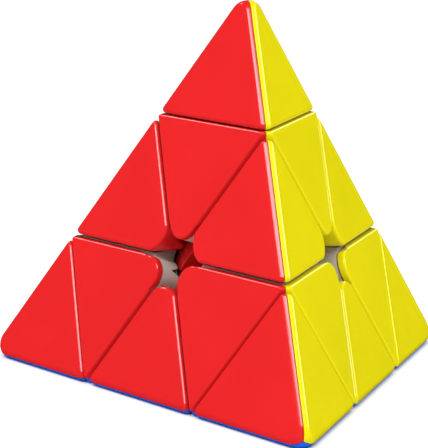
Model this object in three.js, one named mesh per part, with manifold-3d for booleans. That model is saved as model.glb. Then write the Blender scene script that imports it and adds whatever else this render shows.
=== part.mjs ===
// Pyramid twisty puzzle: a regular tetrahedron whose four corner layers and four tips turn.
// Millimetres, +Z up. The origin is the centre of the core, where all four turning axes meet.
// The face opposite the "top" corner is the flat base, and the "front" corner points along -Y.
import * as THREE from 'three';
import { mergeVertices } from 'three/addons/utils/BufferGeometryUtils.js';
import Module from 'manifold-3d';

const wasm = await Module();
wasm.setup();

// ---------------------------------------------------------------- driving dimensions
const EDGE = 98; // pyramid edge between its sharp, unrounded corners
const ROW_GAP = 0.5; // clearance between two pieces that turn past each other
const SEAM_GAP = 0.3; // clearance between two pieces of one assembly
const RIDGE_CUT = 1; // how far the rounded ridges lie below the sharp ones
const CORNER_CUT = 4.4; // how far the rounded corners lie below the sharp ones
const TIP_LENGTH = 27.65; // along its axis, from the sharp corner to the plane under the tip
const CENTRE_RADIUS = 3.6; // corner radius of the panels that meet at a face's centre
const CAP_THICKNESS = 1.5;
const TIP_WALL = 2;
const EDGE_WALL = 3;
const CAP_RIM = 3; // width of the axial body's rim around the pocket under a cap
const CAP_PLUG_DEPTH = 1.6;
const CAP_POCKET_DEPTH = 4.5;

const CORE_BALL_RADIUS = 7.2;
const ARM_RADIUS = 2.3;
const ARM_LENGTH = 12.5; // from the centre of the core
const FOOT_INNER_RADIUS = 7.9; // the edges' feet lie between these two spheres
const FOOT_OUTER_RADIUS = 14.25;
const SKIRT_RADIUS = 14.75; // the axials' skirts reach over the feet from here outwards
const FOOT_CONE = THREE.MathUtils.degToRad(80); // cone around each axis that bounds its layer's feet

const SCREW_RADIUS = 1.2;
const SCREW_BORE_RADIUS = 1.5;
const SCREW_START = 5.5; // distances along a turning axis, from the centre of the core
const SCREW_HEAD_START = 42;
const SCREW_HEAD_HEIGHT = 2;
const SCREW_HEAD_RADIUS = 2.6;
const SCREW_CHAMFER = 0.4;
const SCREW_SLOT_LENGTH = 3.4;
const SCREW_SLOT_WIDTH = 0.8;
const SCREW_SLOT_DEPTH = 1;
const WASHER_THICKNESS = 0.6;
const WASHER_RADIUS = 3;
const SPRING_RADIUS = 2.4; // to the middle of the wire
const SPRING_WIRE_RADIUS = 0.3;
const SPRING_TURNS = 4;
const TIP_PLATE_THICKNESS = 2;
const TIP_POST_RADIUS = 3.4;
const TIP_POST_HEIGHT = 1.2;
const PEG_RADIUS = 0.9;
const PEG_LENGTH = 1.2; // beyond the plane between an edge's halves
const PEG_ROOT = 1; // and within its own half
const PEG_DEPTH = 4.6; // of the two outer pegs, below the ridge
const PEG_SPREAD = 8; // from the middle of the ridge to each of them

const ROUND_SEGMENTS = 12; // sides of small round parts
const PEG_SEGMENTS = 8;
const CENTRE_SEGMENTS = 8; // along each panel's corner at a face's centre
const WIRE_SEGMENTS = 6;
const STEPS_PER_TURN = 10; // along the springs
const CONE_SEGMENTS = 16; // sides of the cones that bound the feet
const BALL_DETAIL = 2; // subdivisions of the spheres
const BALL_SLACK = 1.03; // makes a faceted hollow at least as large as its sphere
const CUT_MARGIN = 1; // how far a cutting body reaches past the surface that it cuts
const MERGE_TOLERANCE = 1e-5;

// ---------------------------------------------------------------- values worked out from them
const HEIGHT = EDGE * Math.sqrt(2 / 3);
const FACE_DISTANCE = HEIGHT / 4; // centre of the core to each face
const CORNER_DISTANCE = 3 * FACE_DISTANCE; // and to each corner
const RIDGE_DISTANCE = EDGE / Math.sqrt(8); // and to each ridge
const LAYER_CUT = FACE_DISTANCE / 3; // and to the plane under each corner layer
const TIP_CUT = CORNER_DISTANCE - TIP_LENGTH; // and to the plane under each tip
const HALF_ROW = ROW_GAP / 2;
const HALF_SEAM = SEAM_GAP / 2;
const SLANT = 3 / Math.sqrt(8); // distance along a face for each unit of distance to a cut plane
const UP = new THREE.Vector3(0, 0, 1);
const FAR = 150; // larger than the whole object

const FINISHES = {
  red: { color: 0xd8191c, roughness: 0.25, metalness: 0 },
  yellow: { color: 0xe6d512, roughness: 0.25, metalness: 0 },
  blue: { color: 0x1450c8, roughness: 0.25, metalness: 0 },
  green: { color: 0x12913c, roughness: 0.25, metalness: 0 },
  grey: { color: 0x8c8780, roughness: 0.4, metalness: 0 },
  zinc: { color: 0xb0b0b4, roughness: 0.32, metalness: 1 },
  spring: { color: 0x9c9ca2, roughness: 0.35, metalness: 1 },
};

function cornerDirection(azimuthDegrees) {
  const azimuth = THREE.MathUtils.degToRad(azimuthDegrees);
  const level = Math.sqrt(8) / 3;
  return new THREE.Vector3(level * Math.cos(azimuth), level * Math.sin(azimuth), -1 / 3);
}

// Each corner is opposite one face, whose colour is given with it.
const CORNERS = [
  { name: 'top', axis: UP.clone(), opposite: 'blue' },
  { name: 'left', axis: cornerDirection(150), opposite: 'yellow' },
  { name: 'front', axis: cornerDirection(-90), opposite: 'green' },
  { name: 'right', axis: cornerDirection(30), opposite: 'red' },
];

function othersThan(...left) {
  return CORNERS.filter((corner) => !left.includes(corner));
}

// ---------------------------------------------------------------- solids
function solidOf(geometry, matrix = new THREE.Matrix4()) {
  const bare = new THREE.BufferGeometry();
  bare.setAttribute('position', geometry.getAttribute('position'));
  bare.setIndex(geometry.getIndex());
  const merged = mergeVertices(bare.applyMatrix4(matrix), MERGE_TOLERANCE);
  const vertProperties = new Float32Array(merged.getAttribute('position').array);
  const triVerts = new Uint32Array(merged.getIndex().array);
  return new wasm.Manifold(new wasm.Mesh({ numProp: 3, vertProperties, triVerts }));
}

function geometryOf(solid) {
  const { vertProperties, triVerts, numProp } = solid.getMesh();
  const positions = new Float32Array((vertProperties.length / numProp) * 3);
  for (let i = 0; i < positions.length / 3; i += 1) {
    for (let k = 0; k < 3; k += 1) positions[3 * i + k] = vertProperties[numProp * i + k];
  }
  const geometry = new THREE.BufferGeometry();
  geometry.setAttribute('position', new THREE.BufferAttribute(positions, 3));
  geometry.setIndex(new THREE.BufferAttribute(new Uint32Array(triVerts), 1));
  return geometry;
}

// Turns local +Z to the given direction and moves the local origin along it.
function along(direction, distance = 0) {
  const turn = new THREE.Quaternion().setFromUnitVectors(UP, direction);
  const shift = direction.clone().multiplyScalar(distance);
  return new THREE.Matrix4().makeRotationFromQuaternion(turn).setPosition(shift);
}

// Everything beyond the plane at this distance along the direction.
function beyond(direction, distance) {
  const block = new THREE.BoxGeometry(2 * FAR, 2 * FAR, 2 * FAR);
  return solidOf(block, along(direction, distance + FAR));
}

// A convex body: the points that lie within every plane.
function within(planes) {
  let body = solidOf(new THREE.BoxGeometry(FAR, FAR, FAR));
  for (const { normal, distance } of planes) body = body.subtract(beyond(normal, distance));
  return body;
}

function above(direction, distance) {
  return { normal: direction.clone().negate(), distance: -distance };
}

function below(direction, distance) {
  return { normal: direction, distance };
}

function ball(radius) {
  return solidOf(new THREE.IcosahedronGeometry(radius, BALL_DETAIL));
}

function ballHollow(radius) {
  return ball(radius * BALL_SLACK);
}

function turned(profile, segments, direction) {
  const points = profile.map(([radius, height]) => new THREE.Vector2(radius, height));
  const lathe = new THREE.LatheGeometry(points, segments).rotateX(Math.PI / 2);
  return solidOf(lathe, along(direction));
}

// A round bar along a direction, between two distances from the origin.
function bar(direction, radius, start, end, segments = ROUND_SEGMENTS) {
  const cylinder = new THREE.CylinderGeometry(radius, radius, end - start, segments).rotateX(Math.PI / 2);
  return solidOf(cylinder, along(direction, (start + end) / 2));
}

// Everything nearer to an axis than the feet's cone, moved along the axis by a clearance.
function insideCone(axis, clearance) {
  const apex = clearance / Math.sin(FOOT_CONE);
  const reach = 2 * FOOT_OUTER_RADIUS;
  const rim = apex + reach / Math.tan(FOOT_CONE);
  return turned([[0, apex], [reach, rim], [reach, reach], [0, reach]], CONE_SEGMENTS, axis);
}

// ---------------------------------------------------------------- shared cuts
// The planes of the outer surface, moved inwards by the given depth. The ridges between two
// faces are cut flat, and so is each corner.
function faceOf(corner, depth = 0) {
  return below(corner.axis.clone().negate(), FACE_DISTANCE - depth);
}

function ridgeOf(first, second) {
  const middle = first.axis.clone().add(second.axis).normalize();
  return below(middle, RIDGE_DISTANCE - RIDGE_CUT);
}

function ridgesAround(corner) {
  return othersThan(corner).map((other) => ridgeOf(corner, other));
}

// Cuts round the corner that a panel turns to the centre of a face. `towards` is the direction
// along the face from its centre to the panel.
function centreCutter(face, towards) {
  const radius = CENTRE_RADIUS;
  const middle = 2 * (radius + HALF_ROW * SLANT);
  const wide = 2 * radius;
  const chord = radius / 2;
  const shape = new THREE.Shape();
  shape.moveTo(middle - chord, wide);
  shape.lineTo(middle - chord, chord * Math.sqrt(3));
  shape.absarc(middle, 0, radius, (2 / 3) * Math.PI, (4 / 3) * Math.PI, false);
  shape.lineTo(middle - chord, -wide);
  shape.lineTo(-wide, -wide);
  shape.lineTo(-wide, wide);
  shape.closePath();
  const depth = FACE_DISTANCE - FOOT_INNER_RADIUS + CUT_MARGIN;
  const options = { depth, bevelEnabled: false, curveSegments: CENTRE_SEGMENTS };
  const prism = new THREE.ExtrudeGeometry(shape, options);
  const inward = face.axis;
  const across = new THREE.Vector3().crossVectors(inward, towards);
  const place = new THREE.Matrix4().makeBasis(towards, across, inward);
  place.setPosition(inward.clone().multiplyScalar(-FACE_DISTANCE - CUT_MARGIN));
  return solidOf(prism, place);
}

// The direction along a face from its centre towards a corner of that face.
function alongFace(face, corner) {
  return corner.axis.clone().addScaledVector(face.axis, -corner.axis.dot(face.axis)).normalize();
}

// ---------------------------------------------------------------- core
function makeCore() {
  let core = ball(CORE_BALL_RADIUS);
  for (const { axis } of CORNERS) core = core.add(bar(axis, ARM_RADIUS, 0, ARM_LENGTH));
  const holeStart = SCREW_START - SEAM_GAP;
  for (const { axis } of CORNERS) {
    core = core.subtract(bar(axis, SCREW_BORE_RADIUS, holeStart, ARM_LENGTH + CUT_MARGIN));
  }
  return core;
}

// ---------------------------------------------------------------- axials, one under each tip
function axialPlanes(corner, capDepth) {
  const planes = [above(corner.axis, LAYER_CUT + HALF_ROW), below(corner.axis, TIP_CUT - HALF_ROW)];
  for (const other of othersThan(corner)) {
    planes.push(below(other.axis, LAYER_CUT - HALF_ROW), faceOf(other, capDepth), ridgeOf(corner, other));
  }
  return planes;
}

// The part of the axial that lies under one cap's rim, between two depths below the face.
function capInset(corner, face, inset, from, to) {
  const planes = [below(corner.axis, TIP_CUT - HALF_ROW - inset)];
  for (const other of othersThan(corner, face)) planes.push(below(other.axis, LAYER_CUT - HALF_ROW - inset));
  planes.push(faceOf(face, from), above(face.axis.clone().negate(), FACE_DISTANCE - to));
  return within(planes);
}

function axialHub(corner) {
  const slope = Math.tan(Math.PI - Math.acos(1 / 3) - FOOT_CONE);
  const start = 2 * ROW_GAP; // keeps the cone clear of the feet around it
  const top = SKIRT_RADIUS + CUT_MARGIN;
  return turned([[0, start], [slope * (top - start), top], [0, top]], ROUND_SEGMENTS, corner.axis);
}

function makeAxialBase(corner) {
  let body = within(axialPlanes(corner, CAP_THICKNESS + SEAM_GAP));
  body = body.subtract(ballHollow(SKIRT_RADIUS));
  body = body.add(axialHub(corner)).subtract(ballHollow(CORE_BALL_RADIUS + ROW_GAP));
  body = body.subtract(bar(corner.axis, ARM_RADIUS + SEAM_GAP, 0, ARM_LENGTH + SEAM_GAP));
  body = body.subtract(bar(corner.axis, SCREW_BORE_RADIUS, 0, TIP_CUT));
  for (const face of othersThan(corner)) {
    body = body.subtract(centreCutter(face, alongFace(face, corner)));
    body = body.subtract(capInset(corner, face, CAP_RIM, 0, CAP_THICKNESS + CAP_POCKET_DEPTH));
  }
  return body;
}

function makeCap(corner, face) {
  const planes = axialPlanes(corner, 0);
  planes.push(above(face.axis.clone().negate(), FACE_DISTANCE - CAP_THICKNESS));
  for (const other of othersThan(corner, face)) planes.push(mitre(face, other));
  const plate = within(planes).subtract(centreCutter(face, alongFace(face, corner)));
  const plugEnd = CAP_THICKNESS + CAP_PLUG_DEPTH;
  return plate.add(capInset(corner, face, CAP_RIM + SEAM_GAP, CAP_THICKNESS / 2, plugEnd));
}

// The plane halfway between two faces: a coloured piece on the first face ends there.
function mitre(face, other) {
  const across = face.axis.clone().sub(other.axis).normalize();
  return below(across, -HALF_SEAM);
}

// ---------------------------------------------------------------- edges, two halves each
function footOf(first, second) {
  let foot = ball(FOOT_OUTER_RADIUS).subtract(ballHollow(FOOT_INNER_RADIUS));
  for (const inner of [first, second]) foot = foot.intersect(insideCone(inner.axis, HALF_ROW));
  for (const outer of othersThan(first, second)) foot = foot.subtract(insideCone(outer.axis, -HALF_ROW));
  return foot;
}

function edgeHalfPlanes(first, second, face, wall) {
  return [
    above(first.axis, LAYER_CUT + HALF_ROW + wall),
    above(second.axis, LAYER_CUT + HALF_ROW + wall),
    faceOf(face, wall),
  ];
}

// Places of the pegs on the plane between an edge's halves: one in the foot, two by the ridge.
function pegPlaces(first, second) {
  const middle = first.axis.clone().add(second.axis).normalize();
  const sideways = first.axis.clone().sub(second.axis).normalize();
  const atRidge = RIDGE_DISTANCE - PEG_DEPTH;
  const foot = (FOOT_INNER_RADIUS + FOOT_OUTER_RADIUS) / 2;
  return [
    middle.clone().multiplyScalar(foot),
    middle.clone().multiplyScalar(atRidge).addScaledVector(sideways, PEG_SPREAD),
    middle.clone().multiplyScalar(atRidge).addScaledVector(sideways, -PEG_SPREAD),
  ];
}

function makeEdgeHalf(first, second, face, otherFace, foot, hasPegs) {
  const split = mitre(face, otherFace);
  const outer = [...edgeHalfPlanes(first, second, face, 0), ridgeOf(first, second)];
  let half = within(outer).add(foot);
  half = half.subtract(beyond(split.normal, split.distance));
  half = half.subtract(centreCutter(face, middleAlongFace(face, first, second)));
  const pocketPlanes = edgeHalfPlanes(first, second, face, EDGE_WALL);
  const ridge = ridgeOf(first, second);
  pocketPlanes.push(below(ridge.normal, ridge.distance - 2 * EDGE_WALL), below(split.normal, CUT_MARGIN));
  half = half.subtract(within(pocketPlanes).subtract(ballHollow(SKIRT_RADIUS + EDGE_WALL / 2)));
  for (const place of pegPlaces(first, second)) {
    const peg = bar(split.normal, PEG_RADIUS, -PEG_ROOT, PEG_LENGTH, PEG_SEGMENTS).translate(place.toArray());
    const socketEnd = -PEG_LENGTH - SEAM_GAP;
    const socket = bar(split.normal, PEG_RADIUS + HALF_SEAM, socketEnd, CUT_MARGIN, PEG_SEGMENTS);
    half = hasPegs ? half.add(peg) : half.subtract(socket.translate(place.toArray()));
  }
  return half;
}

function middleAlongFace(face, first, second) {
  return alongFace(face, first).add(alongFace(face, second)).normalize();
}

// ---------------------------------------------------------------- tips
function tipPlanes(corner, depth) {
  const planes = [above(corner.axis, TIP_CUT + HALF_ROW)];
  for (const other of othersThan(corner)) planes.push(faceOf(other, depth));
  return planes;
}

function makeTipShell(corner, face) {
  const planes = [...tipPlanes(corner, 0), ...ridgesAround(corner)];
  planes.push(below(corner.axis, CORNER_DISTANCE - CORNER_CUT));
  planes.push(above(face.axis.clone().negate(), FACE_DISTANCE - TIP_WALL));
  for (const other of othersThan(corner, face)) planes.push(mitre(face, other));
  return within(planes);
}

function makeTipBase(corner) {
  const plate = [...tipPlanes(corner, TIP_WALL + SEAM_GAP)];
  const plateTop = TIP_CUT + HALF_ROW + TIP_PLATE_THICKNESS;
  plate.push(below(corner.axis, plateTop));
  const postStart = plateTop - TIP_PLATE_THICKNESS / 2;
  const post = bar(corner.axis, TIP_POST_RADIUS, postStart, plateTop + TIP_POST_HEIGHT);
  const seat = bar(corner.axis, SPRING_RADIUS + SPRING_WIRE_RADIUS + HALF_SEAM, 0, CORNER_DISTANCE);
  const bore = bar(corner.axis, SCREW_BORE_RADIUS, 0, CORNER_DISTANCE);
  return within(plate).add(post.subtract(seat)).subtract(bore);
}

// ---------------------------------------------------------------- screws, springs and washers
function makeScrew(corner) {
  const headEnd = SCREW_HEAD_START + SCREW_HEAD_HEIGHT;
  const profile = [
    [0, SCREW_START],
    [SCREW_RADIUS - SCREW_CHAMFER, SCREW_START],
    [SCREW_RADIUS, SCREW_START + SCREW_CHAMFER],
    [SCREW_RADIUS, SCREW_HEAD_START],
    [SCREW_HEAD_RADIUS, SCREW_HEAD_START],
    [SCREW_HEAD_RADIUS, headEnd - SCREW_CHAMFER],
    [SCREW_HEAD_RADIUS - SCREW_CHAMFER, headEnd],
    [0, headEnd],
  ];
  let screw = turned(profile, ROUND_SEGMENTS, corner.axis);
  const slot = new THREE.BoxGeometry(SCREW_SLOT_WIDTH, SCREW_SLOT_LENGTH, 2 * SCREW_SLOT_DEPTH);
  const crossed = slot.clone().rotateZ(Math.PI / 2);
  screw = screw.subtract(solidOf(slot, along(corner.axis, headEnd)));
  return screw.subtract(solidOf(crossed, along(corner.axis, headEnd)));
}

function makeWasher(corner) {
  const end = SCREW_HEAD_START - HALF_SEAM;
  const start = end - WASHER_THICKNESS;
  const ring = [
    [SCREW_BORE_RADIUS, start],
    [WASHER_RADIUS, start],
    [WASHER_RADIUS, end],
    [SCREW_BORE_RADIUS, end],
    [SCREW_BORE_RADIUS, start],
  ];
  return turned(ring, ROUND_SEGMENTS, corner.axis);
}

class Helix extends THREE.Curve {
  constructor(radius, start, end, turns) {
    super();
    Object.assign(this, { radius, start, end, turns });
  }

  getPoint(fraction, target = new THREE.Vector3()) {
    const angle = 2 * Math.PI * this.turns * fraction;
    const height = this.start + (this.end - this.start) * fraction;
    return target.set(this.radius * Math.cos(angle), this.radius * Math.sin(angle), height);
  }
}

function makeSpring(corner) {
  const start = TIP_CUT + HALF_ROW + TIP_PLATE_THICKNESS + SEAM_GAP + SPRING_WIRE_RADIUS;
  const end = SCREW_HEAD_START - WASHER_THICKNESS - SEAM_GAP - SPRING_WIRE_RADIUS - HALF_SEAM;
  const ring = new THREE.Path().absarc(0, 0, SPRING_WIRE_RADIUS, 0, 2 * Math.PI, false);
  const wire = new THREE.Shape(ring.getPoints(WIRE_SEGMENTS).slice(0, WIRE_SEGMENTS));
  const helix = new Helix(SPRING_RADIUS, start, end, SPRING_TURNS);
  const steps = SPRING_TURNS * STEPS_PER_TURN;
  const tube = new THREE.ExtrudeGeometry(wire, { steps, extrudePath: helix });
  return solidOf(tube, along(corner.axis));
}

// ---------------------------------------------------------------- assembly
const puzzle = new THREE.Group();

function place(name, solid, finish) {
  const material = new THREE.MeshStandardMaterial({ ...FINISHES[finish], flatShading: true });
  const mesh = new THREE.Mesh(geometryOf(solid), material);
  mesh.name = name;
  puzzle.add(mesh);
}

function placeCorner(corner) {
  const { name } = corner;
  place(`${name}_axial_base`, makeAxialBase(corner), 'grey');
  place(`${name}_tip_base`, makeTipBase(corner), 'grey');
  place(`${name}_screw`, makeScrew(corner), 'zinc');
  place(`${name}_washer`, makeWasher(corner), 'zinc');
  place(`${name}_spring`, makeSpring(corner), 'spring');
  for (const face of othersThan(corner)) {
    const colour = face.opposite;
    place(`${name}_axial_cap_${colour}`, makeCap(corner, face), colour);
    place(`${name}_tip_shell_${colour}`, makeTipShell(corner, face), colour);
  }
}

function placeEdge(first, second) {
  const foot = footOf(first, second);
  const [face, otherFace] = othersThan(first, second);
  const name = `edge_${first.name}_${second.name}`;
  const half = makeEdgeHalf(first, second, face, otherFace, foot, true);
  const otherHalf = makeEdgeHalf(first, second, otherFace, face, foot, false);
  place(`${name}_${face.opposite}`, half, face.opposite);
  place(`${name}_${otherFace.opposite}`, otherHalf, otherFace.opposite);
}

place('core_spider', makeCore(), 'grey');
CORNERS.forEach(placeCorner);
CORNERS.forEach((first, index) => {
  for (const second of CORNERS.slice(index + 1)) placeEdge(first, second);
});

export default puzzle;
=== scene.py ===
"""Pyramid twisty puzzle: four corner layers and four tips that turn, in moulded plastic."""
import itertools
import math

import bpy
import numpy as np
from mathutils import Matrix, Vector


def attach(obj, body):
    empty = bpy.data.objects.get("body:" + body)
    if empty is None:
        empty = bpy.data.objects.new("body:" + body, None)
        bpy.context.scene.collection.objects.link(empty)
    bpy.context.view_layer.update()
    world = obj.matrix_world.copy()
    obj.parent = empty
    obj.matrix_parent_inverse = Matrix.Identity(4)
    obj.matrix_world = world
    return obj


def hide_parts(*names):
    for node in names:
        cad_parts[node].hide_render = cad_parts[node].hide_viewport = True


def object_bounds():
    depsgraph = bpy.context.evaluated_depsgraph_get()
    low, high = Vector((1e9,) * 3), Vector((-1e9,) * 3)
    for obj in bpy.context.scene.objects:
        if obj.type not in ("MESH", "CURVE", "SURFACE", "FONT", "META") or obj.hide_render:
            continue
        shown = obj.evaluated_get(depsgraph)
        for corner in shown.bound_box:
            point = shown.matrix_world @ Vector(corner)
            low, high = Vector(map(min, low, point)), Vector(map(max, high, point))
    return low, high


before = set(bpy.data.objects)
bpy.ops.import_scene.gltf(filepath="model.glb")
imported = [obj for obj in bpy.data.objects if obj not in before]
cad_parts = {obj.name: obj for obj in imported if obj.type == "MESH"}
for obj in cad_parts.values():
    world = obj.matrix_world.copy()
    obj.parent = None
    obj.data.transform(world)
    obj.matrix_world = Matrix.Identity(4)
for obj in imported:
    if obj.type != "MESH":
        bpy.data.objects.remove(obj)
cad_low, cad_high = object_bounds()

# ---------------------------------------------------------------- sizes, in millimetres
MM = 0.001
FACE_DISTANCE = -cad_low.z / MM  # centre of the core to each face
TIP_LENGTH = 27.65  # along its axis, from the sharp corner to the plane under the tip
CORNER_DISTANCE = 3 * FACE_DISTANCE
LAYER_CUT = FACE_DISTANCE / 3  # centre of the core to the plane under each corner layer
TIP_CUT = CORNER_DISTANCE - TIP_LENGTH
RIDGE_DISTANCE = math.sqrt(3) * FACE_DISTANCE
HALF_ROW = 0.2  # half the clearance between two pieces that turn past each other
HALF_TIP_ROW = 0.1  # and under the tips
HALF_SEAM = 0.05  # half the clearance between two pieces of one assembly
SLANT = 3 / math.sqrt(8)  # distance along a face for each unit of distance to a cut plane

RIDGE_RADIUS = 1.65  # of the rounding along the pyramid's ridges
CORNER_RADIUS = 1.45  # of each face's outline at a corner of the pyramid
RIM_RADIUS = 0.75  # where a face turns into a wall between two rows
CAP_RIM_RADIUS = 0.5  # the same for the caps
SEAM_RADIUS = 0.1  # along the fine seams between two pieces of one assembly
CENTRE_RADIUS = 3.5  # corner radius of the axials' panels at a face's centre
EDGE_CENTRE_RADIUS = 5.0  # and of the edges'
CAP_INSET = 0.12  # how far a cap stands back from the layers beside it
EDGE_END_RADIUS = 2.6  # where an edge's walls curve round to cross the ridge squarely
CAP_THICKNESS = 1.5  # below the face
CAP_BLANK_DEPTH = 3 * CAP_THICKNESS  # of the body that a cap is cut from
TIP_WALL = 2.0
MECHANISM_FILLETS = {  # widths
    "core_spider": 0.15,
    "axial_base": 0.15,
    "tip_base": 0.2,
    "screw": 0.06,
    "washer": 0.08,
    "spring": 0.02,
}

FOOT_INNER_RADIUS = 8.15  # the edges' feet lie between two balls around the core
FOOT_OUTER_RADIUS = 14.2
FOOT_CONE = math.cos(math.radians(80))  # cosine of the cone that bounds each layer's feet
FOOT_CLEARANCE = 0.025  # how far a foot's sides stay off those cones, as a difference of cosines
FOOT_SPLIT = 0.012  # half the gap between an edge's two half feet, as a share of a half's width
FOOT_COLUMNS = 8  # facets across a foot's two layers
FOOT_ROWS = 5  # and across half of it
FOOT_FILLET = 0.35

# Facets across each kind of rounding
RIDGE_STEPS = 4  # half a ridge
RIM_STEPS = 4
SEAM_STEPS = 2
CENTRE_STEPS = 10
CORNER_STEPS = 3  # half a corner
END_STEPS = 3
FILLET_SEGMENTS = 2
FILLET_ANGLE = 35  # degrees; sides that turn more sharply get a fillet
KEY_DIGITS = 5  # decimals to which two points or directions are compared
TOUCH = 1e-6  # distances below this count as zero
SMALL_ANGLE = 1e-4  # directions closer than this count as one
GREAT_CIRCLE = 1e-6  # three directions with a determinant below this lie on one great circle
WIDE_TURN = -0.3  # two neighbouring normals with a cosine below this meet at a ridge


def corner_axis(azimuth):
    """The direction from the core to a bottom corner."""
    level = math.sqrt(8) / 3
    angle = math.radians(azimuth)
    return np.array((level * math.cos(angle), level * math.sin(angle), -1 / 3))


AXES = {
    "top": np.array((0.0, 0.0, 1.0)),
    "left": corner_axis(150),
    "front": corner_axis(-90),
    "right": corner_axis(30),
}
OPPOSITE_COLOURS = {"top": "blue", "left": "yellow", "front": "green", "right": "red"}


def others_than(*left_out):
    return [name for name in AXES if name not in left_out]


# ---------------------------------------------------------------- convex bodies
# A convex body is a list of faces. A face is a ring of corners, anticlockwise from outside, and
# a corner is a point with the surface's normal there. Where all the faces around a point share
# one normal the surface is smooth, and elsewhere it has a sharp edge.
def unit(vector):
    return vector / np.linalg.norm(vector)


def key(vector):
    """The vector as a tuple that is the same for all vectors at one place."""
    return tuple(round(float(part), KEY_DIGITS) + 0.0 for part in vector)


def arc(start, end, steps):
    """Directions from one to another along the great circle, with both ends."""
    if key(start) > key(end):
        return arc(end, start, steps)[::-1]
    angle = math.acos(max(-1.0, min(1.0, float(start @ end))))
    if angle < SMALL_ANGLE:
        return [start] * (steps + 1)
    inner = []
    for step in range(1, steps):
        share = step / steps
        mix = math.sin((1 - share) * angle) * start + math.sin(share * angle) * end
        inner.append(unit(mix))
    return [start] + inner + [end]


def between(start, end, share):
    """The direction this share of the way along the chord from one to another."""
    if key(start) == key(end):
        return start
    return unit((1 - share) * start + share * end)


def add_face(faces, ring):
    """Adds a face unless too few different corners are left of it."""
    kept = []
    for corner in ring:
        if not kept or key(corner[0]) != key(kept[-1][0]):
            kept.append(corner)
    if len(kept) > 1 and key(kept[0][0]) == key(kept[-1][0]):
        kept.pop()
    if len(kept) > 2:
        faces.append(kept)


def crossing(here, there, height_here, height_there):
    """The corner where the side between two corners meets a plane."""
    if key(here[0]) > key(there[0]):
        return crossing(there, here, height_there, height_here)
    share = height_here / (height_here - height_there)
    point = (1 - share) * here[0] + share * there[0]
    return point, between(here[1], there[1], share)


def flat_ring(points, normal):
    """The points of a plane's cut in order round their middle, as one flat face."""
    middle = sum(points) / len(points)
    across = unit(np.cross(normal, points[0] - middle))
    along = np.cross(across, normal)

    def angle(point):
        return math.atan2((point - middle) @ across, (point - middle) @ along)

    return [(point, normal) for point in sorted(points, key=angle)]


def clip(body, normal, distance):
    """The part of a body on the near side of a plane, closed with a flat face."""
    faces = []
    rim = {}
    for face in body:
        heights = [float(point @ normal) - distance for point, _ in face]
        ring = []
        for index, there in enumerate(face):
            here = face[index - 1]
            before = heights[index - 1]
            after = heights[index]
            if min(before, after) < -TOUCH and max(before, after) > TOUCH:
                cut = crossing(here, there, before, after)
                ring.append(cut)
                rim[key(cut[0])] = cut[0]
            if abs(after) <= TOUCH:
                rim[key(there[0])] = there[0]
            if after <= TOUCH:
                ring.append(there)
        if min(heights) < -TOUCH:
            add_face(faces, ring)
    if len(rim) > 2 and max_height(body, normal) > distance + TOUCH:
        faces.append(flat_ring(list(rim.values()), normal))
    return faces


def max_height(body, normal):
    return max(float(point @ normal) for face in body for point, _ in face)


def rounded(body, radius, steps, wide_steps=None):
    """The body grown by a ball, so that its sharp edges become round, ridges in wide_steps."""
    grown = []
    sides = {}
    for face in body:
        grown.append([(point + radius * normal, normal) for point, normal in face])
        for here, there in zip(face, face[1:] + face[:1]):
            sides[key(here[0]), key(there[0])] = (here, there)
    turns = {}
    for (start, end), (here, there) in sides.items():
        if (end, start) not in sides:
            continue
        across_there, across_here = sides[end, start]
        if key(here[1]) != key(across_here[1]):
            link = (here[0], across_here[1], here[1])
            turns.setdefault(start, {})[key(across_here[1])] = link
        if start < end:
            wide = wide_steps and here[1] @ across_here[1] < WIDE_TURN
            count = wide_steps if wide else steps
            add_strip(grown, here, there, across_here[1], across_there[1], radius, count)
    for links in turns.values():
        if len(links) > 2:
            add_patch(grown, links, radius, steps)
    return grown


def add_strip(faces, here, there, normal_here, normal_there, radius, steps):
    """The round strip along one side, from a face's normals to its neighbour's."""
    if key(here[1]) == key(normal_here) and key(there[1]) == key(normal_there):
        return
    near = arc(here[1], normal_here, steps)
    far = arc(there[1], normal_there, steps)
    for index in range(steps):
        ring = [(there[0], far[index]), (here[0], near[index])]
        ring += [(here[0], near[index + 1]), (there[0], far[index + 1])]
        add_face(faces, [(point + radius * normal, normal) for point, normal in ring])


def add_patch(faces, links, radius, steps):
    """The part of a ball that closes the strips around one corner."""
    normals = [link[1] for link in links.values()]
    if len(links) == 3 and abs(np.linalg.det(normals)) < GREAT_CIRCLE:
        return  # the strips already meet, along one great circle
    outline = []
    name = next(iter(links))
    while name in links:
        point, normal, following = links.pop(name)
        outline += arc(normal, following, steps)[:-1]
        name = key(following)
    middle = unit(sum(outline))
    rings = max(1, steps // 2)
    inner = [middle] * len(outline)
    for index in range(rings):
        outer = [between(middle, normal, (index + 1) / rings) for normal in outline]
        for a, b, c, d in zip(inner, outer, outer[1:] + outer[:1], inner[1:] + inner[:1]):
            add_face(faces, [(point + radius * normal, normal) for normal in (a, b, c, d)])
        inner = outer


def round_wall(body, centre, axis, radius, start, end, steps):
    """Rounds an upright corner of a body, between two directions across the axis."""
    directions = arc(start, end, steps)
    walls = set()
    for here, there in zip(directions, directions[1:]):
        middle = unit(here + there)
        walls.add(key(middle))
        body = clip(body, middle, float(centre @ middle + radius * (middle @ here)))
    faces = []
    for face in body:
        if key(face[0][1]) in walls:
            face = [(point, radial(point - centre, axis)) for point, _ in face]
        faces.append(face)
    return faces


def radial(offset, axis):
    """The direction of an offset straight away from an axis."""
    return unit(offset - (offset @ axis) * axis)


# ---------------------------------------------------------------- the rounded pyramid
def oriented(points):
    """A flat face of a body around the origin, turned so that it faces outwards."""
    normal = unit(np.cross(points[1] - points[0], points[2] - points[0]))
    if normal @ points[0] < 0:
        points = points[::-1]
        normal = -normal
    return [(point, normal) for point in points]


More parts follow.
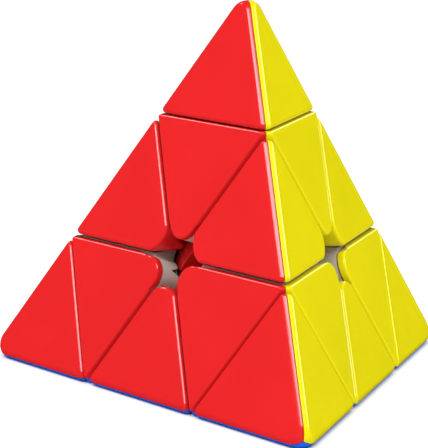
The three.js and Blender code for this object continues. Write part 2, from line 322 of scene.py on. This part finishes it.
def outline_arc(tip, first, second):
    """The rounded corner of a triangle, from its side towards one corner to its other side."""
    to_first = unit(first - tip)
    to_second = unit(second - tip)
    centre = tip + 2 * CORNER_RADIUS * unit(to_first + to_second)
    start = tip + math.sqrt(3) * CORNER_RADIUS * to_first - centre
    end = tip + math.sqrt(3) * CORNER_RADIUS * to_second - centre
    ways = arc(unit(start), unit(end), 2 * CORNER_STEPS)
    return [centre + CORNER_RADIUS * way for way in ways]


def ruled_corner(tip, side, first, second, ridge_normal):
    """The strip of small faces between two outline arcs that start on one side."""
    left = outline_arc(tip, side, first)[: CORNER_STEPS + 1]
    right = outline_arc(tip, side, second)[: CORNER_STEPS + 1]
    normals = [ridge_normal]
    for index in range(1, CORNER_STEPS + 1):
        along = left[index] + right[index] - left[index - 1] - right[index - 1]
        normal = unit(np.cross(left[index] - right[index], along))
        normals.append(normal if normal @ tip > 0 else -normal)
    faces = []
    for index in range(CORNER_STEPS):
        here = normals[index]
        there = normals[index + 1]
        ring = [(left[index], here), (left[index + 1], there)]
        ring += [(right[index + 1], there), (right[index], here)]
        turn = np.cross(ring[1][0] - ring[0][0], ring[2][0] - ring[0][0])
        add_face(faces, ring if turn @ tip > 0 else ring[::-1])
    return faces


def rounded_pyramid(inset):
    """The whole outer shape, this far inside the finished surface."""
    reach = 3 * (FACE_DISTANCE - RIDGE_RADIUS)
    tips = {name: reach * axis for name, axis in AXES.items()}
    body = []
    for face in AXES:
        a, b, c = others_than(face)
        ring = []
        for here, before, after in ((a, c, b), (b, a, c), (c, b, a)):
            ring += outline_arc(tips[here], tips[before], tips[after])
        body.append(oriented(ring))
    for name, tip in tips.items():
        middles = []
        for side in others_than(name):
            first, second = others_than(name, side)
            ridge_normal = unit(AXES[name] + AXES[side])
            body += ruled_corner(tip, tips[side], tips[first], tips[second], ridge_normal)
            outline = outline_arc(tip, tips[first], tips[second])
            middles.append(outline[CORNER_STEPS])
        body.append(oriented(middles))
    return rounded(body, RIDGE_RADIUS - inset, RIDGE_STEPS, 2 * RIDGE_STEPS)


def along_face(face, corner):
    """The direction along a face from its centre towards one of its corners."""
    axis = AXES[face]
    return unit(AXES[corner] - (AXES[corner] @ axis) * axis)


def round_centre(body, face, start, end, radius, inset):
    """Rounds the corner that a panel turns to the centre of a face."""
    middle = 2 * (radius + HALF_ROW * SLANT)
    centre = -FACE_DISTANCE * AXES[face] - middle * unit(start + end)
    return round_wall(body, centre, AXES[face], radius - inset, start, end, CENTRE_STEPS)


def mitred(body, face, inset):
    """The part of a body that belongs to one face, up to the planes halfway to the others."""
    for other in others_than(face):
        across = unit(AXES[face] - AXES[other])
        body = clip(body, across, -HALF_SEAM - inset)
    return body


def plate(body, face, thickness):
    """The part of a body within this depth below a face, with its fine edges rounded."""
    body = mitred(body, face, SEAM_RADIUS)
    body = clip(body, AXES[face], thickness - FACE_DISTANCE - SEAM_RADIUS)
    return rounded(body, SEAM_RADIUS, SEAM_STEPS)


# ---------------------------------------------------------------- pieces
def tip_shell(corner, face):
    """One colour's shell of a tip."""
    body = rounded_pyramid(RIM_RADIUS)
    body = clip(body, -AXES[corner], -TIP_CUT - HALF_TIP_ROW - RIM_RADIUS)
    body = rounded(body, RIM_RADIUS - SEAM_RADIUS, RIM_STEPS)
    return plate(body, face, TIP_WALL)


def axial_cap(corner, face):
    """One colour's cap of an axial, which stands back a little from the layers beside it."""
    inset = CAP_RIM_RADIUS + CAP_INSET
    first, second = others_than(corner, face)
    body = rounded_pyramid(CAP_RIM_RADIUS)
    body = clip(body, AXES[corner], TIP_CUT - HALF_TIP_ROW - CAP_RIM_RADIUS)
    body = clip(body, AXES[first], LAYER_CUT - HALF_ROW - inset)
    body = clip(body, AXES[second], LAYER_CUT - HALF_ROW - inset)
    body = clip(body, AXES[face], CAP_BLANK_DEPTH - FACE_DISTANCE)
    start = along_face(face, first)
    end = along_face(face, second)
    body = round_centre(body, face, start, end, CENTRE_RADIUS, inset)
    body = rounded(body, CAP_RIM_RADIUS - SEAM_RADIUS, RIM_STEPS)
    return plate(body, face, CAP_THICKNESS)


def edge_block(first, second, face):
    """Half of an edge, down to the two walls that meet above its foot."""
    body = rounded_pyramid(RIM_RADIUS)
    for corner in (first, second):
        body = clip(body, -AXES[corner], -LAYER_CUT - HALF_ROW - RIM_RADIUS)
    for near, far in ((first, second), (second, first)):
        body = round_edge_end(body, near, far)
    for side in others_than(first, second):
        start = -along_face(side, first)
        end = -along_face(side, second)
        body = round_centre(body, side, start, end, EDGE_CENTRE_RADIUS, RIM_RADIUS)
    body = rounded(body, RIM_RADIUS - SEAM_RADIUS, RIM_STEPS)
    body = mitred(body, face, SEAM_RADIUS)
    return rounded(body, SEAM_RADIUS, SEAM_STEPS)


def round_edge_end(body, near, far):
    """Curves the wall at one end of an edge until it crosses the ridge squarely."""
    out = unit(AXES[near] + AXES[far])
    along = unit(AXES[near] - AXES[far])
    wall = -AXES[far]
    level = RIDGE_DISTANCE - (math.sqrt(3) - 1) * RIDGE_RADIUS
    sharp_end = (-LAYER_CUT - HALF_ROW - level * float(out @ wall)) / float(along @ wall)
    centre = level * out + (sharp_end - EDGE_END_RADIUS / float(along @ wall)) * along
    axis = unit(np.cross(out, along))
    return round_wall(body, centre, axis, EDGE_END_RADIUS - RIM_RADIUS, wall, along, END_STEPS)


# ---------------------------------------------------------------- meshes
def new_object(name, data):
    thing = bpy.data.objects.new(name, data)
    bpy.context.scene.collection.objects.link(thing)
    return thing


def mesh_object(name, points, faces):
    mesh = bpy.data.meshes.new(name)
    mesh.from_pydata(points, [], faces)
    mesh.shade_smooth()
    return new_object(name, mesh)


def body_object(name, body):
    """A convex body as an object, with each corner's own normal."""
    numbers = {}
    points = []
    faces = []
    normals = []
    for face in body:
        ring = []
        for point, normal in face:
            spot = key(point)
            if spot not in numbers:
                numbers[spot] = len(points)
                points.append(point * MM)
            ring.append(numbers[spot])
            normals.append(normal)
        faces.append(ring)
    thing = mesh_object(name, points, faces)
    thing.data.normals_split_custom_set(normals)
    return thing


def foot_direction(s, t, out, along, side):
    """A direction within a foot: s runs across its layers and t across its two halves.

    At the ends of s it lies just inside the cones of the edge's own two layers, and at the ends
    of t just outside those of the other two. How far it points out is the root of the quadratic
    that makes its length one.
    """
    ratio = 1 / math.sqrt(2)
    spread = math.sqrt(2 / 3)
    narrow = (FOOT_CONE + FOOT_CLEARANCE) / spread
    wide = (FOOT_CONE - FOOT_CLEARANCE) / spread
    a = 1 + ratio**2 * (s * s + t * t)
    b = ratio * (wide * t * t - narrow * s * s)
    c = (narrow * s) ** 2 + (wide * t) ** 2 - 1
    up = (-b + math.sqrt(b * b - a * c)) / a
    return up * out + s * (ratio * up - narrow) * along + t * (ratio * up + wide) * side


def foot_grid(first, second, face):
    """The directions over half of an edge's foot, which reaches under the axials."""
    other = others_than(first, second, face)[0]
    out = unit(AXES[first] + AXES[second])
    along = unit(AXES[first] - AXES[second])
    side = unit(AXES[other] - AXES[face])
    turn = 1 if np.cross(along, side) @ out > 0 else -1
    across = [turn * (2 * index / FOOT_COLUMNS - 1) for index in range(FOOT_COLUMNS + 1)]
    down = [FOOT_SPLIT] + [index / FOOT_ROWS for index in range(1, FOOT_ROWS + 1)]
    return [[foot_direction(s, t, out, along, side) for s in across] for t in down]


def foot_object(name, grid):
    """A thick piece of a ball over a grid of directions."""
    rows = len(grid)
    columns = len(grid[0])
    points = []
    for radius in (FOOT_INNER_RADIUS, FOOT_OUTER_RADIUS):
        points += [radius * MM * way for row in grid for way in row]
    half = rows * columns
    faces = []
    for i in range(rows - 1):
        for j in range(columns - 1):
            a = i * columns + j
            low = (a, a + 1, a + columns + 1, a + columns)
            faces.append(tuple(half + index for index in low))
            faces.append(low[::-1])
    border = list(range(columns))
    border += [i * columns + columns - 1 for i in range(1, rows)]
    border += [(rows - 1) * columns + j for j in range(columns - 2, -1, -1)]
    border += [i * columns for i in range(rows - 2, 0, -1)]
    for a, b in zip(border, border[1:] + border[:1]):
        faces.append((a, b, half + b, half + a))
    return mesh_object(name, points, faces)


def fillet(thing, width):
    """Rounds an object's sharp edges and smooths its round parts."""
    bevel = thing.modifiers.new("fillet", "BEVEL")
    bevel.width = width * MM
    bevel.segments = FILLET_SEGMENTS
    bevel.limit_method = "ANGLE"
    bevel.angle_limit = math.radians(FILLET_ANGLE)
    bevel.harden_normals = True
    thing.data.shade_smooth()


# ---------------------------------------------------------------- materials
BLOTCH_SCALE = 60  # of the noise, for coordinates in metres, as for the grain below
BLOTCH_DEPTH = 0.06  # how much darker the blotches of tint are
RELIEF_HEIGHT = 0.02 * MM
NOISE_LOW = 0.3  # nearly all of a noise texture's values lie between these two
NOISE_HIGH = 0.7


def linear(colour):
    """A display colour from 0 to 255 as the shader's linear one."""
    parts = [part / 255 for part in colour]
    return [part / 12.92 if part <= 0.04045 else ((part + 0.055) / 1.055) ** 2.4 for part in parts]


def noise(nodes, links, scale, detail):
    where = nodes.new("ShaderNodeTexCoord")
    texture = nodes.new("ShaderNodeTexNoise")
    texture.inputs["Scale"].default_value = scale
    texture.inputs["Detail"].default_value = detail
    links.new(where.outputs["Object"], texture.inputs["Vector"])
    return texture


def spread(nodes, links, texture, low, high):
    """The texture's value stretched between two numbers."""
    ramp = nodes.new("ShaderNodeMapRange")
    ramp.inputs["From Min"].default_value = NOISE_LOW
    ramp.inputs["From Max"].default_value = NOISE_HIGH
    ramp.inputs["To Min"].default_value = low
    ramp.inputs["To Max"].default_value = high
    links.new(texture.outputs["Fac"], ramp.inputs["Value"])
    return ramp.outputs["Result"]


def tinted(nodes, links, texture, colour, depth):
    """The colour, darkened a little where the texture is low."""
    ramp = nodes.new("ShaderNodeValToRGB")
    base = linear(colour)
    ramp.color_ramp.elements[0].position = NOISE_LOW
    ramp.color_ramp.elements[1].position = NOISE_HIGH
    ramp.color_ramp.elements[0].color = [part * (1 - depth) for part in base] + [1]
    ramp.color_ramp.elements[1].color = base + [1]
    links.new(texture.outputs["Fac"], ramp.inputs["Fac"])
    return ramp.outputs["Color"]


def surface(name, colour, roughness, metallic, grain, relief):
    """A moulded or machined surface: faint blotches of tint, uneven gloss and fine relief."""
    material = bpy.data.materials.new(name)
    material.use_nodes = True
    nodes = material.node_tree.nodes
    links = material.node_tree.links
    shader = nodes["Principled BSDF"]
    blotches = noise(nodes, links, BLOTCH_SCALE, detail=3)
    fine = noise(nodes, links, grain, detail=4)
    tint = tinted(nodes, links, blotches, colour, BLOTCH_DEPTH)
    links.new(tint, shader.inputs["Base Color"])
    gloss = spread(nodes, links, fine, roughness * 0.85, roughness * 1.2)
    links.new(gloss, shader.inputs["Roughness"])
    shader.inputs["Metallic"].default_value = metallic
    shader.inputs["IOR"].default_value = 1.5
    bump = nodes.new("ShaderNodeBump")
    bump.inputs["Strength"].default_value = relief
    bump.inputs["Distance"].default_value = RELIEF_HEIGHT
    links.new(fine.outputs["Fac"], bump.inputs["Height"])
    links.new(bump.outputs["Normal"], shader.inputs["Normal"])
    return material


def glossy_plastic(name, colour):
    return surface(name, colour, roughness=0.15, metallic=0, grain=900, relief=0.15)


def matt_plastic(name, colour):
    return surface(name, colour, roughness=0.38, metallic=0, grain=1400, relief=0.3)


def steel(name, colour, roughness, relief):
    return surface(name, colour, roughness, metallic=1, grain=2500, relief=relief)


FINISHES = {
    "red_plastic": glossy_plastic("red_plastic", (217, 33, 35)),
    "yellow_plastic": glossy_plastic("yellow_plastic", (231, 218, 8)),
    "blue_plastic": glossy_plastic("blue_plastic", (20, 102, 230)),
    "green_plastic": glossy_plastic("green_plastic", (14, 144, 54)),
    "grey_plastic": matt_plastic("grey_plastic", (192, 184, 174)),
    "zinc_steel": steel("zinc_steel", (188, 188, 192), roughness=0.28, relief=0.4),
    "spring_steel": steel("spring_steel", (150, 150, 156), roughness=0.24, relief=0.2),
}


def finish(thing, slot):
    """Gives a piece the material for its slot."""
    thing.data.materials.clear()
    thing.data.materials.append(FINISHES[slot])


# ---------------------------------------------------------------- assembly
def place(thing, body, cad_node, slot):
    """Puts a new piece on a moving body, in place of its plainer CAD node."""
    finish(thing, slot)
    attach(thing, body)
    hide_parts(cad_node)


def build_corner(corner):
    for face in others_than(corner):
        colour = OPPOSITE_COLOURS[face]
        slot = f"{colour}_plastic"
        shell = body_object(f"tip_{corner}_{colour}", tip_shell(corner, face))
        place(shell, f"{corner}_tip", f"{corner}_tip_shell_{colour}", slot)
        cap = body_object(f"cap_{corner}_{colour}", axial_cap(corner, face))
        place(cap, f"{corner}_axial", f"{corner}_axial_cap_{colour}", slot)


def build_edge(first, second):
    """The two halves of an edge, each a panel with its walls and half a foot."""
    body = f"edge_{first}_{second}"
    for face in others_than(first, second):
        colour = OPPOSITE_COLOURS[face]
        slot = f"{colour}_plastic"
        name = f"{first}_{second}_{colour}"
        block = body_object(f"panel_{name}", edge_block(first, second, face))
        place(block, body, f"edge_{name}", slot)
        foot = foot_object(f"foot_{name}", foot_grid(first, second, face))
        fillet(foot, FOOT_FILLET)
        place(foot, body, f"edge_{name}", slot)


def carry_over(name, part, slot):
    """A piece of the mechanism as it is, with its edges rounded."""
    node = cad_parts[name]
    fillet(node, MECHANISM_FILLETS[part])
    finish(node, slot)


for corner in AXES:
    build_corner(corner)
for first, second in itertools.combinations(AXES, 2):
    build_edge(first, second)
carry_over("core_spider", "core_spider", "grey_plastic")
for corner in AXES:
    carry_over(f"{corner}_axial_base", "axial_base", "grey_plastic")
    carry_over(f"{corner}_tip_base", "tip_base", "grey_plastic")
    carry_over(f"{corner}_screw", "screw", "zinc_steel")
    carry_over(f"{corner}_washer", "washer", "zinc_steel")
    carry_over(f"{corner}_spring", "spring", "spring_steel")


# ---------------------------------------------------------------- surroundings, in metres
LAMP_DISTANCE = 1.6
WORLD_STRENGTH = 0.68


def studio_material(name, colour):
    """Matt paper with very faint blotches."""
    material = bpy.data.materials.new(name)
    material.use_nodes = True
    nodes = material.node_tree.nodes
    links = material.node_tree.links
    shader = nodes["Principled BSDF"]
    blotches = noise(nodes, links, scale=3, detail=2)
    tint = tinted(nodes, links, blotches, colour, depth=0.01)
    links.new(tint, shader.inputs["Base Color"])
    shader.inputs["Roughness"].default_value = 0.9
    shader.inputs["Specular IOR Level"].default_value = 0.1
    return material


def sweep_object(name):
    """A wide round floor whose edge curves up into a backdrop on every side."""
    sides = 64
    middle_radius = 0.3
    floor_radius = 2.2
    curve_radius = 0.8
    curve_steps = 8
    wall_height = 2.4
    base = -FACE_DISTANCE * MM
    profile = [(middle_radius, base), (floor_radius, base)]
    for step in range(1, curve_steps + 1):
        angle = math.radians(90 * step / curve_steps)
        out = floor_radius + curve_radius * math.sin(angle)
        profile.append((out, base + curve_radius * (1 - math.cos(angle))))
    profile.append((floor_radius + curve_radius, base + wall_height))
    points = [(0, 0, base)]
    for radius, height in profile:
        for side in range(sides):
            turn = 2 * math.pi * side / sides
            points.append((radius * math.cos(turn), radius * math.sin(turn), height))
    faces = []
    for side in range(sides):
        following = (side + 1) % sides
        faces.append((0, 1 + side, 1 + following))
        for ring in range(len(profile) - 1):
            a = 1 + ring * sides
            b = a + sides
            faces.append((a + side, b + side, b + following, a + following))
    return mesh_object(name, points, faces)


def softbox(name, azimuth, elevation, size, power):
    """A lamp that faces the puzzle from this direction, in degrees, with its power in watts."""
    lamp = bpy.data.lights.new(name, "AREA")
    lamp.shape = "RECTANGLE"
    lamp.size = size[0]
    lamp.size_y = size[1]
    lamp.energy = power
    thing = new_object(name, lamp)
    around = math.radians(azimuth)
    up = math.radians(elevation)
    level = math.cos(up)
    way = Vector((level * math.cos(around), level * math.sin(around), math.sin(up)))
    thing.location = way * LAMP_DISTANCE
    thing.rotation_euler = way.to_track_quat("Z", "Y").to_euler()


def light_world(strength):
    world = bpy.data.worlds.new("studio")
    world.use_nodes = True
    background = world.node_tree.nodes["Background"]
    background.inputs["Color"].default_value = (1, 1, 1, 1)
    background.inputs["Strength"].default_value = strength
    world.cycles_visibility.glossy = False
    bpy.context.scene.world = world


sweep = sweep_object("studio_sweep")
sweep.data.materials.append(studio_material("studio_paper", (250, 250, 250)))
sweep.visible_glossy = False
light_world(WORLD_STRENGTH)
softbox("key_softbox", azimuth=245, elevation=57, size=(1.5, 0.34), power=19)
softbox("side_softbox", azimuth=6, elevation=27, size=(0.3, 0.7), power=5)
softbox("left_rim_softbox", azimuth=128, elevation=41, size=(0.6, 0.3), power=3.5)
softbox("right_rim_softbox", azimuth=56, elevation=21, size=(0.6, 0.3), power=1.2)
bpy.context.scene.view_settings.view_transform = "Standard"

# ---------------------------------------------------------------- camera
CAMERA_TARGET = Vector((0, 0, 12)) * MM
CAMERA_AZIMUTH = math.radians(-11.38)  # from straight in front, positive to the right
CAMERA_ELEVATION = math.radians(10.67)
CAMERA_DISTANCE = 466.1 * MM
CAMERA_ROLL = math.radians(0.67)
CAMERA_RIGHT = -6.09 * MM  # shifts without turning, to the right and upwards in the view
CAMERA_UP = -0.77 * MM
LENS = 190.2  # focal length and sensor width in millimetres
SENSOR = 36.0


def make_camera():
    level = math.cos(CAMERA_ELEVATION)
    back = Vector((level * math.sin(CAMERA_AZIMUTH), -level * math.cos(CAMERA_AZIMUTH), 0))
    back.z = math.sin(CAMERA_ELEVATION)
    right = Vector((0, 0, 1)).cross(back).normalized()
    up = back.cross(right)
    spot = CAMERA_TARGET + back * CAMERA_DISTANCE + right * CAMERA_RIGHT + up * CAMERA_UP
    turned_right = right * math.cos(CAMERA_ROLL) + up * math.sin(CAMERA_ROLL)
    turned_up = up * math.cos(CAMERA_ROLL) - right * math.sin(CAMERA_ROLL)
    data = bpy.data.cameras.new("camera")
    data.lens = LENS
    data.sensor_width = SENSOR
    data.clip_start = 0.01
    data.clip_end = 20
    camera = new_object("camera", data)
    camera.matrix_world = Matrix(
        (
            (turned_right.x, turned_up.x, back.x, spot.x),
            (turned_right.y, turned_up.y, back.y, spot.y),
            (turned_right.z, turned_up.z, back.z, spot.z),
            (0, 0, 0, 1),
        )
    )
    bpy.context.scene.camera = camera


make_camera()
